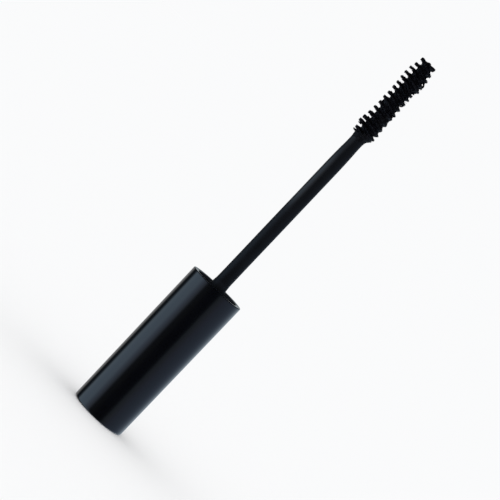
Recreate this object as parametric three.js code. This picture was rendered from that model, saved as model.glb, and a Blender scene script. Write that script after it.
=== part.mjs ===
// A mascara wand: the screw cap of a mascara, with the stem and the twisted-wire brush that it carries.
// Millimetres, +Z up along the wand. The closed end of the cap stands flat on z = 0 and the brush points up.
import * as THREE from "three";

// ---- driving dimensions ----
const CAP_LENGTH = 47.1; // closed end to mouth rim
const CAP_R_MOUTH = 8.42; // outer radius at the mouth
const CAP_R_END = 8.24; // outer radius at the closed end, after moulding draft
const CAP_WALL = 1.67;
const CAP_END_WALL = 1.6;
const CAP_BORE_R = CAP_R_MOUTH - CAP_WALL; // 6.75
const END_EDGE_R = 0.6;
const RIM_EDGE_R = 0.22;

const CLOSURE_MOUTH_Z = CAP_LENGTH - 1.5; // the closure sits back from the rim
const CLOSURE_R = 6.69;
const CLOSURE_SKIRT_Z = 27;
const DECK_TOP_Z = 33.5;
const DECK_UNDER_Z = 31.5;
const BEAD_Z = 29.5; // snap bead that holds the closure in the shell
const BEAD_H = 0.13;
const THREAD_ROOT_R = 5.85;
const THREAD_CREST_R = 5.35;
const THREAD_PITCH = 2.5;
const THREAD_START_Z = 36.9;
const THREAD_TURNS = 2.9;
const SOCKET_R = 2.55;
const SOCKET_FLOOR_Z = 22.2;
const SOCKET_GROOVE_R = 2.86;
const BOSS_R = 4.1;
const BOSS_END_Z = 20.6;

const LINER_R_IN = 3.7;
const LINER_R_OUT = 5.2;
const LINER_T = 0.8;
const SEAT_GAP = 0.05; // between faces that rest on each other

const STEM_R = 2.13;
const STEM_FLANGE_R = 3.6;
const STEM_CONE_R = 2.75;
const STEM_WAIST_R = 1.95;
const STEM_TIP_Z = 102.45;
const STEM_BORE_R = 0.62;
const STEM_BORE_Z = 95.3;

const WIRE_STRAND_R = 0.27; // one strand of the twisted pair
const WIRE_STRAND_OFF = 0.25; // strand centre from the wand's axis
const WIRE_PITCH = 3.503; // one full turn of the pair
const WIRE_PHASE_Z = 105.79; // height at which the fibres point along +X and -X
const WIRE_START_Z = 95.5;
const WIRE_END_Z = 129.4;
const TWIST = -1; // -1 for a left-hand twist

const BRUSH_START_Z = 102.52;
const BRUSH_END_Z = 129.1;
const ROWS = 15; // half turns of the fibre helix
const ROW_GAP = 0.05;
const ROW_BORE_R = 0.63;
const CORE_R = 1.6; // where neighbouring fibres close up around the wire
// outer radius of the fibres at the middle of each row, from stem to tip
const ROW_R = [
  3.15, 3.43, 3.2, 3.06, 2.99, 2.99, 3.0, 2.86, 2.87, 3.0, 3.26, 3.36, 3.16,
  2.72, 2.37,
];

const SEG = 36; // facets round the cap and closure
const STEM_SEG = 24;

const group = new THREE.Group();
group.name = "mascara_wand";

function put(name, geometry, color, roughness, metalness) {
  const mesh = new THREE.Mesh(
    geometry,
    new THREE.MeshStandardMaterial({ color, roughness, metalness }),
  );
  mesh.name = name;
  group.add(mesh);
}

// ---- solids of revolution: [radius, height] pairs, up the outside and back down the inside ----
function revolve(profile, segments) {
  const g = new THREE.LatheGeometry(
    profile.map(([r, z]) => new THREE.Vector2(r, z)),
    segments,
  );
  g.rotateX(Math.PI / 2); // LatheGeometry turns about Y
  return g;
}
// a quarter round from one edge direction to another, as profile points
function fillet(cr, cz, radius, fromDeg, toDeg, steps) {
  const points = [];
  for (let i = 0; i <= steps; i++) {
    const a = THREE.MathUtils.degToRad(fromDeg + ((toDeg - fromDeg) * i) / steps);
    points.push([cr + radius * Math.cos(a), cz + radius * Math.sin(a)]);
  }
  return points;
}

// ---- surfaces made of rings of points; each ring joins the next ----
function ringSurface(rings, { loop = false, shift = 0 } = {}) {
  const n = rings[0].length;
  const positions = [];
  for (const ring of rings) for (const p of ring) positions.push(p.x, p.y, p.z);
  const index = [];
  const quad = (j, k, i, turn) => {
    const i2 = (i + 1) % n;
    const a = j * n + i,
      b = j * n + i2,
      c = k * n + ((i2 + turn) % n),
      d = k * n + ((i + turn) % n);
    index.push(a, b, c, a, c, d);
  };
  for (let j = 0; j + 1 < rings.length; j++)
    for (let i = 0; i < n; i++) quad(j, j + 1, i, 0);
  if (loop) {
    for (let i = 0; i < n; i++) quad(rings.length - 1, 0, i, shift);
  } else {
    for (const [j, flip] of [
      [0, true],
      [rings.length - 1, false],
    ]) {
      const c = new THREE.Vector3();
      for (const p of rings[j]) c.addScaledVector(p, 1 / n);
      const ci = positions.length / 3;
      positions.push(c.x, c.y, c.z);
      for (let i = 0; i < n; i++) {
        const a = j * n + i,
          b = j * n + ((i + 1) % n);
        if (flip) index.push(ci, b, a);
        else index.push(ci, a, b);
      }
    }
  }
  const g = new THREE.BufferGeometry();
  g.setAttribute("position", new THREE.Float32BufferAttribute(positions, 3));
  g.setIndex(index);
  return g;
}
const polar = (r, angle, z) =>
  new THREE.Vector3(r * Math.cos(angle), r * Math.sin(angle), z);
const circle = (r, z) =>
  Array.from({ length: SEG }, (_, i) => polar(r, (i * 2 * Math.PI) / SEG, z));

// ---- cap shell: the glossy outer cap, closed at the bottom, open at the top ----
{
  const e = END_EDGE_R;
  const q = RIM_EDGE_R;
  put(
    "cap_shell",
    revolve(
      [
        [0, 0],
        ...fillet(CAP_R_END - e, e, e, -90, 0, 4),
        [CAP_R_MOUTH - 0.02, CAP_LENGTH - 8],
        ...fillet(CAP_R_MOUTH - q, CAP_LENGTH - q, q, 0, 90, 2),
        [CAP_BORE_R + 0.15, CAP_LENGTH],
        [CAP_BORE_R, CAP_LENGTH - 0.15],
        [CAP_BORE_R, BEAD_Z + 0.7],
        [CAP_BORE_R + BEAD_H + 0.02, BEAD_Z + 0.35],
        [CAP_BORE_R + BEAD_H + 0.02, BEAD_Z - 0.35],
        [CAP_BORE_R, BEAD_Z - 0.7],
        [CAP_BORE_R, 26],
        [6.35, 25.4],
        [6.2, CAP_END_WALL + 0.8],
        [5.4, CAP_END_WALL],
        [0, CAP_END_WALL],
      ],
      SEG,
    ),
    0x0b0d10,
    0.12,
    0,
  );
}

// ---- closure: the threaded inner cap, with the socket that holds the stem ----
{
  // height of the one right-hand thread ridge over the bore wall, running out at both ends
  const ridge = (angle, z) => {
    const turns = (z - THREAD_START_Z) / THREAD_PITCH - angle / (2 * Math.PI);
    const lap = Math.round(turns);
    const along = lap + angle / (2 * Math.PI); // turns from the start of the ridge
    const off = Math.abs(turns - lap) * THREAD_PITCH; // axial distance from its middle
    const profile = THREE.MathUtils.clamp((0.62 - off) / 0.38, 0, 1);
    const fade = THREE.MathUtils.clamp(
      Math.min(along, THREAD_TURNS - along) / 0.12,
      0,
      1,
    );
    return (THREAD_ROOT_R - THREAD_CREST_R) * profile * fade;
  };
  const profile = [
    [BOSS_R - 0.4, BOSS_END_Z],
    [BOSS_R, BOSS_END_Z + 0.4],
    [BOSS_R, DECK_UNDER_Z],
    [5.65, DECK_UNDER_Z],
    [5.65, CLOSURE_SKIRT_Z],
    [CLOSURE_R - 0.2, CLOSURE_SKIRT_Z],
    [CLOSURE_R, CLOSURE_SKIRT_Z + 0.5],
    [CLOSURE_R, BEAD_Z - 0.5],
    [CLOSURE_R + BEAD_H, BEAD_Z - 0.15],
    [CLOSURE_R + BEAD_H, BEAD_Z + 0.15],
    [CLOSURE_R, BEAD_Z + 0.5],
    [CLOSURE_R, CLOSURE_MOUTH_Z],
    [THREAD_ROOT_R + 0.3, CLOSURE_MOUTH_Z],
  ];
  const bore = [];
  const dz = THREAD_PITCH / 9;
  for (
    let z = CLOSURE_MOUTH_Z - 0.4;
    z > THREAD_START_Z - 0.75;
    z -= dz
  )
    bore.push(z);
  const rings = profile.map(([r, z]) => circle(r, z));
  for (const z of bore)
    rings.push(
      Array.from({ length: SEG }, (_, i) => {
        const a = (i * 2 * Math.PI) / SEG;
        return polar(THREAD_ROOT_R - ridge(a, z), a, z);
      }),
    );
  for (const [r, z] of [
    [THREAD_ROOT_R, DECK_TOP_Z],
    [SOCKET_R + 0.2, DECK_TOP_Z],
    [SOCKET_R, DECK_TOP_Z - 0.2],
    [SOCKET_R, 25.6],
    [SOCKET_GROOVE_R, 25.4],
    [SOCKET_GROOVE_R, 23.5],
    [SOCKET_R, 23.3],
    [SOCKET_R, SOCKET_FLOOR_Z],
  ])
    rings.push(circle(r, z));
  put("closure", ringSurface(rings), 0x111316, 0.45, 0);
}

// ---- seal liner: the soft washer that the bottle's lip closes on ----
put(
  "seal_liner",
  revolve(
    [
      [LINER_R_IN, DECK_TOP_Z + SEAT_GAP],
      [LINER_R_OUT, DECK_TOP_Z + SEAT_GAP],
      [LINER_R_OUT, DECK_TOP_Z + SEAT_GAP + LINER_T],
      [LINER_R_IN, DECK_TOP_Z + SEAT_GAP + LINER_T],
      [LINER_R_IN, DECK_TOP_Z + SEAT_GAP],
    ],
    SEG,
  ),
  0xd9d8d2,
  0.7,
  0,
);

// ---- stem: snap head, flange, sealing cone, rod, waist, and the bore that holds the wire ----
put(
  "stem",
  revolve(
    [
      [0, SOCKET_FLOOR_Z + 0.3],
      [2.05, SOCKET_FLOOR_Z + 0.3],
      [2.42, 23.5],
      [2.73, 24.8],
      [2.45, 25.05],
      [2.45, DECK_TOP_Z + SEAT_GAP],
      [STEM_FLANGE_R, DECK_TOP_Z + SEAT_GAP],
      [STEM_FLANGE_R, 34.6],
      [3.1, 34.75],
      [STEM_CONE_R, 36],
      [STEM_CONE_R, 44],
      [2.34, 47.76],
      [2.18, 49.4],
      [STEM_R, 50.2],
      [STEM_R, 91.6],
      [2.1, 94.2],
      [2.02, 97.2],
      [STEM_WAIST_R, 99],
      [STEM_WAIST_R, 100.6],
      [2.03, 101.8],
      [1.95, 102.2],
      [1.7, STEM_TIP_Z],
      [STEM_BORE_R, STEM_TIP_Z],
      [STEM_BORE_R, STEM_BORE_Z],
      [0, STEM_BORE_Z],
    ],
    STEM_SEG,
  ),
  0x14171b,
  0.38,
  0,
);

// ---- brush wire: a pair of strands twisted on each other, one hairpin of wire ----
const helixAngle = (z) =>
  (TWIST * 2 * Math.PI * (z - WIRE_PHASE_Z)) / WIRE_PITCH;
{
  const steps = Math.round(((WIRE_END_Z - WIRE_START_Z) / WIRE_PITCH) * 8);
  const points = 10;
  const rings = [];
  for (let j = 0; j <= steps; j++) {
    const z = WIRE_START_Z + ((WIRE_END_Z - WIRE_START_Z) * j) / steps;
    const ring = [];
    for (let i = 0; i < points; i++) {
      const a = (i * 2 * Math.PI) / points;
      const s = WIRE_STRAND_OFF * Math.sin(a);
      const r =
        WIRE_STRAND_OFF * Math.abs(Math.cos(a)) +
        Math.sqrt(WIRE_STRAND_R ** 2 - s * s);
      // the strands lie across the fibres that they grip
      ring.push(polar(r, a + helixAngle(z) + Math.PI / 2, z));
    }
    rings.push(ring);
  }
  put("brush_wire", ringSurface(rings), 0x8b8d90, 0.3, 1);
}

// ---- bristle rows: each half turn of the fibres, closed up round the wire and standing out in two fins ----
{
  const span = (BRUSH_END_Z - BRUSH_START_Z) / ROWS;
  const radiusAt = (z) => {
    const k = (z - BRUSH_START_Z) / span - 0.5;
    const i = THREE.MathUtils.clamp(Math.floor(k), 0, ROWS - 2);
    const t = THREE.MathUtils.clamp(k - i, 0, 1);
    return ROW_R[i] + (ROW_R[i + 1] - ROW_R[i]) * t;
  };
  const fin = [
    [-90, 0],
    [-50, 0.04],
    [-27, 0.35],
    [-12, 0.95],
    [0, 1],
    [12, 0.95],
    [27, 0.35],
    [50, 0.04],
  ]; // angle from the fin's middle, and share of the height from core to tip
  const steps = 6;
  for (let row = 0; row < ROWS; row++) {
    const z0 = BRUSH_START_Z + row * span + ROW_GAP / 2;
    const z1 = BRUSH_START_Z + (row + 1) * span - ROW_GAP / 2;
    const ringAt = (z, radius) => {
      const ring = [];
      for (const side of [0, Math.PI])
        for (const [deg, share] of fin)
          ring.push(
            polar(
              radius === undefined
                ? CORE_R + (radiusAt(z) - CORE_R) * share
                : radius,
              helixAngle(z) + side + THREE.MathUtils.degToRad(deg),
              z,
            ),
          );
      return ring;
    };
    const rings = [ringAt(z0, ROW_BORE_R)];
    for (let j = 0; j <= steps; j++)
      rings.push(ringAt(z0 + ((z1 - z0) * j) / steps));
    rings.push(ringAt(z1, ROW_BORE_R));
    // half a turn up, a fin has changed sides, so the bore joins half a ring round
    const g = ringSurface(rings, { loop: true, shift: fin.length });
    put(
      "bristle_row_" + String(row + 1).padStart(2, "0"),
      g,
      0x08080b,
      0.6,
      0,
    );
  }
}

export default group;
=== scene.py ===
import math

import bmesh
import bpy
import numpy as np
from mathutils import Matrix, Vector, noise


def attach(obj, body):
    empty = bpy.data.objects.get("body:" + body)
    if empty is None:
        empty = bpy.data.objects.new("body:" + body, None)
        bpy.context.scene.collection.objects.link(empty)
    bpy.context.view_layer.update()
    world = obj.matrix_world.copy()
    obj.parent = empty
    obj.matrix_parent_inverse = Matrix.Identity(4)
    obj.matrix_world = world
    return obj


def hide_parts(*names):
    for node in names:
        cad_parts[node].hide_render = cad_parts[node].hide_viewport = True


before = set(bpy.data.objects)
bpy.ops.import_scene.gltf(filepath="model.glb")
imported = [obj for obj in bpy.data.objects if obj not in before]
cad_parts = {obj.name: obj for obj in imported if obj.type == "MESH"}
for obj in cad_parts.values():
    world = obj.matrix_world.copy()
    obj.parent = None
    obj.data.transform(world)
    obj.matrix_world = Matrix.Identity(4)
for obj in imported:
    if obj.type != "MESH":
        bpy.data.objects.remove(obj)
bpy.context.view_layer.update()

MM = 0.001
scene = bpy.context.scene
rng = np.random.default_rng(20)


# ------------------------------------------------------------------ camera
# The wand leans up to the right in the view: +Z runs 46.55 degrees above the picture's x axis.
ROLL = math.radians(46.55)
DOWN = math.radians(3.3)
AIM = Vector((-0.64, 0.0, 60.38)) * MM
DISTANCE = 0.6
forward = Vector((0, math.cos(DOWN), -math.sin(DOWN)))
across = Vector((1, 0, 0))
upward = across.cross(forward)
cam_right = across * math.sin(ROLL) + upward * math.cos(ROLL)
cam_up = -across * math.cos(ROLL) + upward * math.sin(ROLL)
cam_data = bpy.data.cameras.new("camera")
cam_data.sensor_width = 36
cam_data.lens = 161.68
cam_data.clip_start, cam_data.clip_end = 0.01, 60
camera = bpy.data.objects.new("camera", cam_data)
scene.collection.objects.link(camera)
turn = Matrix((cam_right, cam_up, -forward)).transposed()
camera.matrix_world = Matrix.Translation(AIM - forward * DISTANCE) @ turn.to_4x4()
scene.camera = camera
scene.view_settings.view_transform = "Standard"
scene.view_settings.look = "None"


# ------------------------------------------------------------------ helpers: nodes
def nodes_of(name):
    mat = bpy.data.materials.new(name)
    mat.use_nodes = True
    tree = mat.node_tree
    bsdf = tree.nodes["Principled BSDF"]
    return mat, tree, bsdf


def add(tree, kind, inputs=None, **props):
    n = tree.nodes.new(kind)
    for k, v in props.items():
        setattr(n, k, v)
    for k, v in (inputs or {}).items():
        if hasattr(v, "is_linked") or isinstance(v, bpy.types.NodeSocket):
            tree.links.new(v, n.inputs[k])
        else:
            n.inputs[k].default_value = v
    return n


def ramp(tree, source, stops, interpolation="LINEAR"):
    n = tree.nodes.new("ShaderNodeValToRGB")
    n.color_ramp.interpolation = interpolation
    els = n.color_ramp.elements
    while len(els) > 1:
        els.remove(els[-1])
    els[0].position = stops[0][0]
    els[0].color = (*stops[0][1], 1)
    for pos, col in stops[1:]:
        e = els.new(pos)
        e.color = (*col, 1)
    if source is not None:
        tree.links.new(source, n.inputs["Fac"])
    return n


def grey(v):
    return (v, v, v)


def coords(tree, scale=(1, 1, 1)):
    tc = tree.nodes.new("ShaderNodeTexCoord")
    mp = add(tree, "ShaderNodeMapping", {"Vector": tc.outputs["Object"], "Scale": scale})
    return mp.outputs["Vector"]


# ------------------------------------------------------------------ materials
def gloss_black():
    """Moulded glossy black ABS: deep black, with faint handling haze, hairline marks and a slight waviness."""
    mat, t, b = nodes_of("gloss_black_abs")
    v = coords(t)
    haze = add(t, "ShaderNodeTexNoise", {"Vector": v, "Scale": 90.0, "Detail": 4.0, "Roughness": 0.55})
    tint = ramp(t, haze.outputs["Fac"], [(0.35, (0.0012, 0.0015, 0.0026)), (0.7, (0.0019, 0.0022, 0.0034))])
    t.links.new(tint.outputs["Color"], b.inputs["Base Color"])
    # hairlines run mostly along the cap
    vs = coords(t, (1, 1, 0.05))
    hair = add(t, "ShaderNodeTexNoise", {"Vector": vs, "Scale": 5200.0, "Detail": 2.0, "Roughness": 0.6})
    hair_r = ramp(t, hair.outputs["Fac"], [(0.60, grey(0.0)), (0.78, grey(1.0))])
    patch = add(t, "ShaderNodeTexNoise", {"Vector": v, "Scale": 160.0, "Detail": 3.0})
    patch_r = ramp(t, patch.outputs["Fac"], [(0.42, grey(0.045)), (0.72, grey(0.11))])
    rough = add(t, "ShaderNodeMix", {0: 0.06, 6: patch_r.outputs["Color"], 7: hair_r.outputs["Color"]}, data_type="RGBA", blend_type="ADD")
    t.links.new(rough.outputs[2], b.inputs["Roughness"])
    wave = add(t, "ShaderNodeTexNoise", {"Vector": v, "Scale": 55.0, "Detail": 1.0})
    bump = add(t, "ShaderNodeBump", {"Height": wave.outputs["Fac"], "Strength": 0.05, "Distance": 0.0004})
    bump2 = add(t, "ShaderNodeBump", {"Height": hair_r.outputs["Color"], "Strength": 0.04, "Distance": 0.00001, "Normal": bump.outputs["Normal"]})
    t.links.new(bump2.outputs["Normal"], b.inputs["Normal"])
    b.inputs["IOR"].default_value = 1.5
    return mat


def satin_inside():
    """The unpolished inner faces of the cap: the same plastic with a satin, slightly dusty surface."""
    mat, t, b = nodes_of("satin_abs_inside")
    v = coords(t)
    dust = add(t, "ShaderNodeTexNoise", {"Vector": v, "Scale": 700.0, "Detail": 5.0, "Roughness": 0.6})
    col = ramp(t, dust.outputs["Fac"], [(0.35, (0.0095, 0.0110, 0.0160)), (0.7, (0.0155, 0.0175, 0.0235))])
    t.links.new(col.outputs["Color"], b.inputs["Base Color"])
    rgh = ramp(t, dust.outputs["Fac"], [(0.35, grey(0.36)), (0.7, grey(0.48))])
    t.links.new(rgh.outputs["Color"], b.inputs["Roughness"])
    b.inputs["Specular IOR Level"].default_value = 0.3
    vs = coords(t, (1, 1, 0.12))
    drawn = add(t, "ShaderNodeTexNoise", {"Vector": vs, "Scale": 3200.0, "Detail": 2.0})
    bump = add(t, "ShaderNodeBump", {"Height": drawn.outputs["Fac"], "Strength": 0.2, "Distance": 0.00002})
    t.links.new(bump.outputs["Normal"], b.inputs["Normal"])
    return mat


def closure_pp():
    """Black polypropylene: slightly greyer and softer in gloss, with fine turning marks from the mould."""
    mat, t, b = nodes_of("black_pp")
    v = coords(t)
    n1 = add(t, "ShaderNodeTexNoise", {"Vector": v, "Scale": 420.0, "Detail": 5.0, "Roughness": 0.6})
    col = ramp(t, n1.outputs["Fac"], [(0.3, (0.020, 0.021, 0.023)), (0.75, (0.034, 0.035, 0.037))])
    t.links.new(col.outputs["Color"], b.inputs["Base Color"])
    rgh = ramp(t, n1.outputs["Fac"], [(0.3, grey(0.24)), (0.75, grey(0.4))])
    t.links.new(rgh.outputs["Color"], b.inputs["Roughness"])
    vs = coords(t, (0.1, 0.1, 1))
    rings = add(t, "ShaderNodeTexNoise", {"Vector": vs, "Scale": 6000.0, "Detail": 1.0})
    bump = add(t, "ShaderNodeBump", {"Height": rings.outputs["Fac"], "Strength": 0.15, "Distance": 0.00003})
    t.links.new(bump.outputs["Normal"], b.inputs["Normal"])
    return mat


def liner_foam():
    """White expanded polyethylene: fine cells and a faint grey stain near the stem."""
    mat, t, b = nodes_of("liner_foam")
    v = coords(t)
    cells = add(t, "ShaderNodeTexVoronoi", {"Vector": v, "Scale": 5200.0})
    stain = add(t, "ShaderNodeTexNoise", {"Vector": v, "Scale": 260.0, "Detail": 5.0})
    col = ramp(t, stain.outputs["Fac"], [(0.3, (0.46, 0.45, 0.43)), (0.6, (0.74, 0.73, 0.7))])
    t.links.new(col.outputs["Color"], b.inputs["Base Color"])
    b.inputs["Roughness"].default_value = 0.75
    bump = add(t, "ShaderNodeBump", {"Height": cells.outputs["Distance"], "Strength": 0.5, "Distance": 0.00006})
    t.links.new(bump.outputs["Normal"], b.inputs["Normal"])
    return mat


def satin_stem():
    """Satin black moulded stem: soft sheen, fine spark-eroded grain, faint lengthwise wipe marks, and a painted
    highlight and painted sheen in its colour.
    """
    mat, t, b = nodes_of("satin_black_stem")
    v = coords(t)
    cloud = add(t, "ShaderNodeTexNoise", {"Vector": v, "Scale": 210.0, "Detail": 4.0, "Roughness": 0.6})
    col = ramp(t, cloud.outputs["Fac"], [(0.3, (0.0024, 0.0038, 0.0068)), (0.75, (0.0038, 0.0052, 0.0086))])
    t.links.new(col.outputs["Color"], b.inputs["Base Color"])
    vs = coords(t, (1, 1, 0.04))
    wipe = add(t, "ShaderNodeTexNoise", {"Vector": vs, "Scale": 1500.0, "Detail": 3.0})
    rgh = ramp(t, wipe.outputs["Fac"], [(0.3, grey(0.48)), (0.75, grey(0.58))])
    # the wiper polishes the stretch that passes it last, so it is a little glossier
    axis = add(t, "ShaderNodeSeparateXYZ", {"Vector": v})
    high = add(t, "ShaderNodeMath", {0: axis.outputs["Z"], 1: 10.0}, operation="MULTIPLY")
    rub = ramp(t, high.outputs[0], [(0.745, grey(0.0)), (0.800, grey(1.0)), (0.940, grey(1.0)), (0.985, grey(0.0))])
    flank = add(t, "ShaderNodeMath", {0: axis.outputs["X"], 1: -250.0}, operation="MULTIPLY")
    one_side = ramp(t, flank.outputs[0], [(0.05, grey(0.0)), (0.2, grey(1.0))])
    worn = add(t, "ShaderNodeMath", {0: rub.outputs["Color"], 1: one_side.outputs["Color"]}, operation="MULTIPLY")
    both = add(t, "ShaderNodeMix", {0: worn.outputs[0], 6: rgh.outputs["Color"], 7: (0.15, 0.15, 0.15, 1)}, data_type="RGBA")
    t.links.new(both.outputs[2], b.inputs["Roughness"])
    b.inputs["Specular IOR Level"].default_value = 0.2
    # a faint lighter ring painted into the colour where the neck's lip meets the stem: a painted highlight on the flare
    lip_highlight = ramp(t, high.outputs[0], [(0.474, grey(1.0)), (0.481, grey(1.7)), (0.487, grey(1.6)), (0.495, grey(1.0))])
    tone_and_lip_highlight = add(t, "ShaderNodeMix", {0: 1.0, 6: col.outputs["Color"], 7: lip_highlight.outputs["Color"]}, data_type="RGBA", blend_type="MULTIPLY")
    # a lighter colour painted on the -X side, a painted sheen: strongest along the polished stretch, weaker from there
    # up to the brush
    sheen_paint_by_height = ramp(t, high.outputs[0], [(0.745, grey(0.0)), (0.800, (0.0095, 0.0090, 0.0078)), (0.925, (0.0095, 0.0090, 0.0078)), (0.955, (0.0042, 0.0036, 0.0030)), (0.990, (0.0060, 0.0052, 0.0046)), (1.0, (0.0060, 0.0052, 0.0046))])
    lit_side_mask = ramp(t, flank.outputs[0], [(0.06, grey(0.0)), (0.16, grey(0.75)), (0.36, grey(1.0)), (0.48, grey(0.9))])
    painted_sheen = add(t, "ShaderNodeMix", {0: 1.0, 6: sheen_paint_by_height.outputs["Color"], 7: lit_side_mask.outputs["Color"]}, data_type="RGBA", blend_type="MULTIPLY")
    # the colour sums the random tone, the painted lip highlight and the painted sheen
    tone_and_painted_light = add(t, "ShaderNodeMix", {0: 1.0, 6: tone_and_lip_highlight.outputs[2], 7: painted_sheen.outputs[2]}, data_type="RGBA", blend_type="ADD")
    t.links.new(tone_and_painted_light.outputs[2], b.inputs["Base Color"])
    grain = add(t, "ShaderNodeTexNoise", {"Vector": v, "Scale": 9000.0, "Detail": 2.0})
    bump = add(t, "ShaderNodeBump", {"Height": grain.outputs["Fac"], "Strength": 0.22, "Distance": 0.00002})
    t.links.new(bump.outputs["Normal"], b.inputs["Normal"])
    return mat


def steel_wire():
    mat, t, b = nodes_of("steel_wire")
    v = coords(t)
    n = add(t, "ShaderNodeTexNoise", {"Vector": v, "Scale": 2600.0, "Detail": 4.0})
    col = ramp(t, n.outputs["Fac"], [(0.42, (0.010, 0.010, 0.013)), (0.60, (0.085, 0.085, 0.088))])
    t.links.new(col.outputs["Color"], b.inputs["Base Color"])
    met = ramp(t, n.outputs["Fac"], [(0.42, grey(0.0)), (0.58, grey(1.0))])
    t.links.new(met.outputs["Color"], b.inputs["Metallic"])
    rgh = ramp(t, n.outputs["Fac"], [(0.4, grey(0.5)), (0.6, grey(0.3))])
    t.links.new(rgh.outputs["Color"], b.inputs["Roughness"])
    bump = add(t, "ShaderNodeBump", {"Height": n.outputs["Fac"], "Strength": 0.3, "Distance": 0.00003})
    t.links.new(bump.outputs["Normal"], b.inputs["Normal"])
    return mat


def product():
    """Black mascara paste and the fibres wetted with it: nearly black, with a faint violet cast, and uneven wet gloss."""
    mat, t, b = nodes_of("black_product")
    v = coords(t)
    n = add(t, "ShaderNodeTexNoise", {"Vector": v, "Scale": 900.0, "Detail": 6.0, "Roughness": 0.65})
    col = ramp(t, n.outputs["Fac"], [(0.3, (0.0012, 0.0012, 0.0023)), (0.5, (0.0024, 0.0023, 0.0040)), (0.68, (0.0070, 0.0067, 0.0098))])
    t.links.new(col.outputs["Color"], b.inputs["Base Color"])
    wet = add(t, "ShaderNodeTexNoise", {"Vector": v, "Scale": 650.0, "Detail": 3.0})
    rgh = ramp(t, wet.outputs["Fac"], [(0.38, grey(0.24)), (0.62, grey(0.62))])
    axis = add(t, "ShaderNodeSeparateXYZ", {"Vector": v})
    high = add(t, "ShaderNodeMath", {0: axis.outputs["Z"], 1: 8.0}, operation="MULTIPLY")
    dry = ramp(t, high.outputs[0], [(0.826, grey(1.0)), (0.834, grey(0.0))])  # the paste near the stem has dried dull
    dull = add(t, "ShaderNodeMix", {0: dry.outputs["Color"], 6: rgh.outputs["Color"], 7: (0.66, 0.66, 0.66, 1)}, data_type="RGBA")
    t.links.new(dull.outputs[2], b.inputs["Roughness"])
    b.inputs["Specular IOR Level"].default_value = 0.15
    lumps = add(t, "ShaderNodeTexNoise", {"Vector": v, "Scale": 3800.0, "Detail": 4.0, "Roughness": 0.6})
    bump = add(t, "ShaderNodeBump", {"Height": lumps.outputs["Fac"], "Strength": 0.6, "Distance": 0.00008})
    t.links.new(bump.outputs["Normal"], b.inputs["Normal"])
    return mat


def fibre():
    """Single nylon fibres: near-black, with colour and gloss that vary at random."""
    mat, t, b = nodes_of("black_fibre")
    v = coords(t)
    n = add(t, "ShaderNodeTexNoise", {"Vector": v, "Scale": 1400.0, "Detail": 4.0})
    col = ramp(t, n.outputs["Fac"], [(0.35, (0.0020, 0.0020, 0.0034)), (0.66, (0.0080, 0.0077, 0.0108))])
    t.links.new(col.outputs["Color"], b.inputs["Base Color"])
    rgh = ramp(t, n.outputs["Fac"], [(0.35, grey(0.38)), (0.7, grey(0.52))])
    t.links.new(rgh.outputs["Color"], b.inputs["Roughness"])
    b.inputs["Specular IOR Level"].default_value = 0.18
    bump = add(t, "ShaderNodeBump", {"Height": n.outputs["Fac"], "Strength": 0.3, "Distance": 0.00003})
    t.links.new(bump.outputs["Normal"], b.inputs["Normal"])
    return mat


MAT = {
    "gloss": gloss_black(),
    "inside": satin_inside(),
    "closure": closure_pp(),
    "liner": liner_foam(),
    "stem": satin_stem(),
    "wire": steel_wire(),
    "product": product(),
    "fibre": fibre(),
}


# ------------------------------------------------------------------ helpers: meshes
def make(name, verts, faces, mats, smooth=True, mat_index=None, sharp=None):
    me = bpy.data.meshes.new(name)
    me.from_pydata([tuple(v) for v in verts], [], faces)
    for m in mats:
        me.materials.append(m)
    if mat_index is not None:
        me.polygons.foreach_set("material_index", np.asarray(mat_index, np.int32))
    me.polygons.foreach_set("use_smooth", np.full(len(me.polygons), smooth))
    me.update()
    if sharp is not None:
        me.set_sharp_from_angle(angle=math.radians(sharp))
    ob = bpy.data.objects.new(name, me)
    scene.collection.objects.link(ob)
    return ob


def place(ob, slot, *stands_for):
    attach(ob, "root")
    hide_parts(*stands_for)
    return ob


def soften(profile):
    """profile: (r, z, edge radius). Rounds each corner that has a radius."""
    pts = []
    n = len(profile)
    for i, (r, z, q) in enumerate(profile):
        if q <= 0 or i in (0, n - 1):
            pts.append((r, z))
            continue
        p = np.array((r, z), float)
        a = np.array(profile[i - 1][:2], float) - p
        c = np.array(profile[i + 1][:2], float) - p
        la, lc = np.linalg.norm(a), np.linalg.norm(c)
        a, c = a / la, c / lc
        half = math.acos(max(-1, min(1, float(a @ c)))) / 2
        if half > math.radians(88):
            pts.append((r, z))
            continue
        reach = min(q / math.tan(half), la * 0.48, lc * 0.48)
        q = reach * math.tan(half)
        mid = (a + c) / np.linalg.norm(a + c)
        centre = p + mid * (q / math.sin(half))
        s0, s1 = p + a * reach - centre, p + c * reach - centre
        a0 = math.atan2(s0[1], s0[0])
        a1 = math.atan2(s1[1], s1[0])
        d = (a1 - a0 + math.pi) % (2 * math.pi) - math.pi
        steps = max(3, int(abs(d) / math.radians(12)))
        for k in range(steps + 1):
            w = a0 + d * k / steps
            pts.append((centre[0] + q * math.cos(w), centre[1] + q * math.sin(w)))
    return pts


def split_long(pts, longest):
    """Extra rings on long straight stretches keep the faces near square."""
    out = [pts[0]]
    for p, q in zip(pts, pts[1:]):
        n = max(1, int(math.hypot(q[0] - p[0], q[1] - p[1]) / longest))
        for k in range(1, n + 1):
            out.append((p[0] + (q[0] - p[0]) * k / n, p[1] + (q[1] - p[1]) * k / n))
    return out


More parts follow.
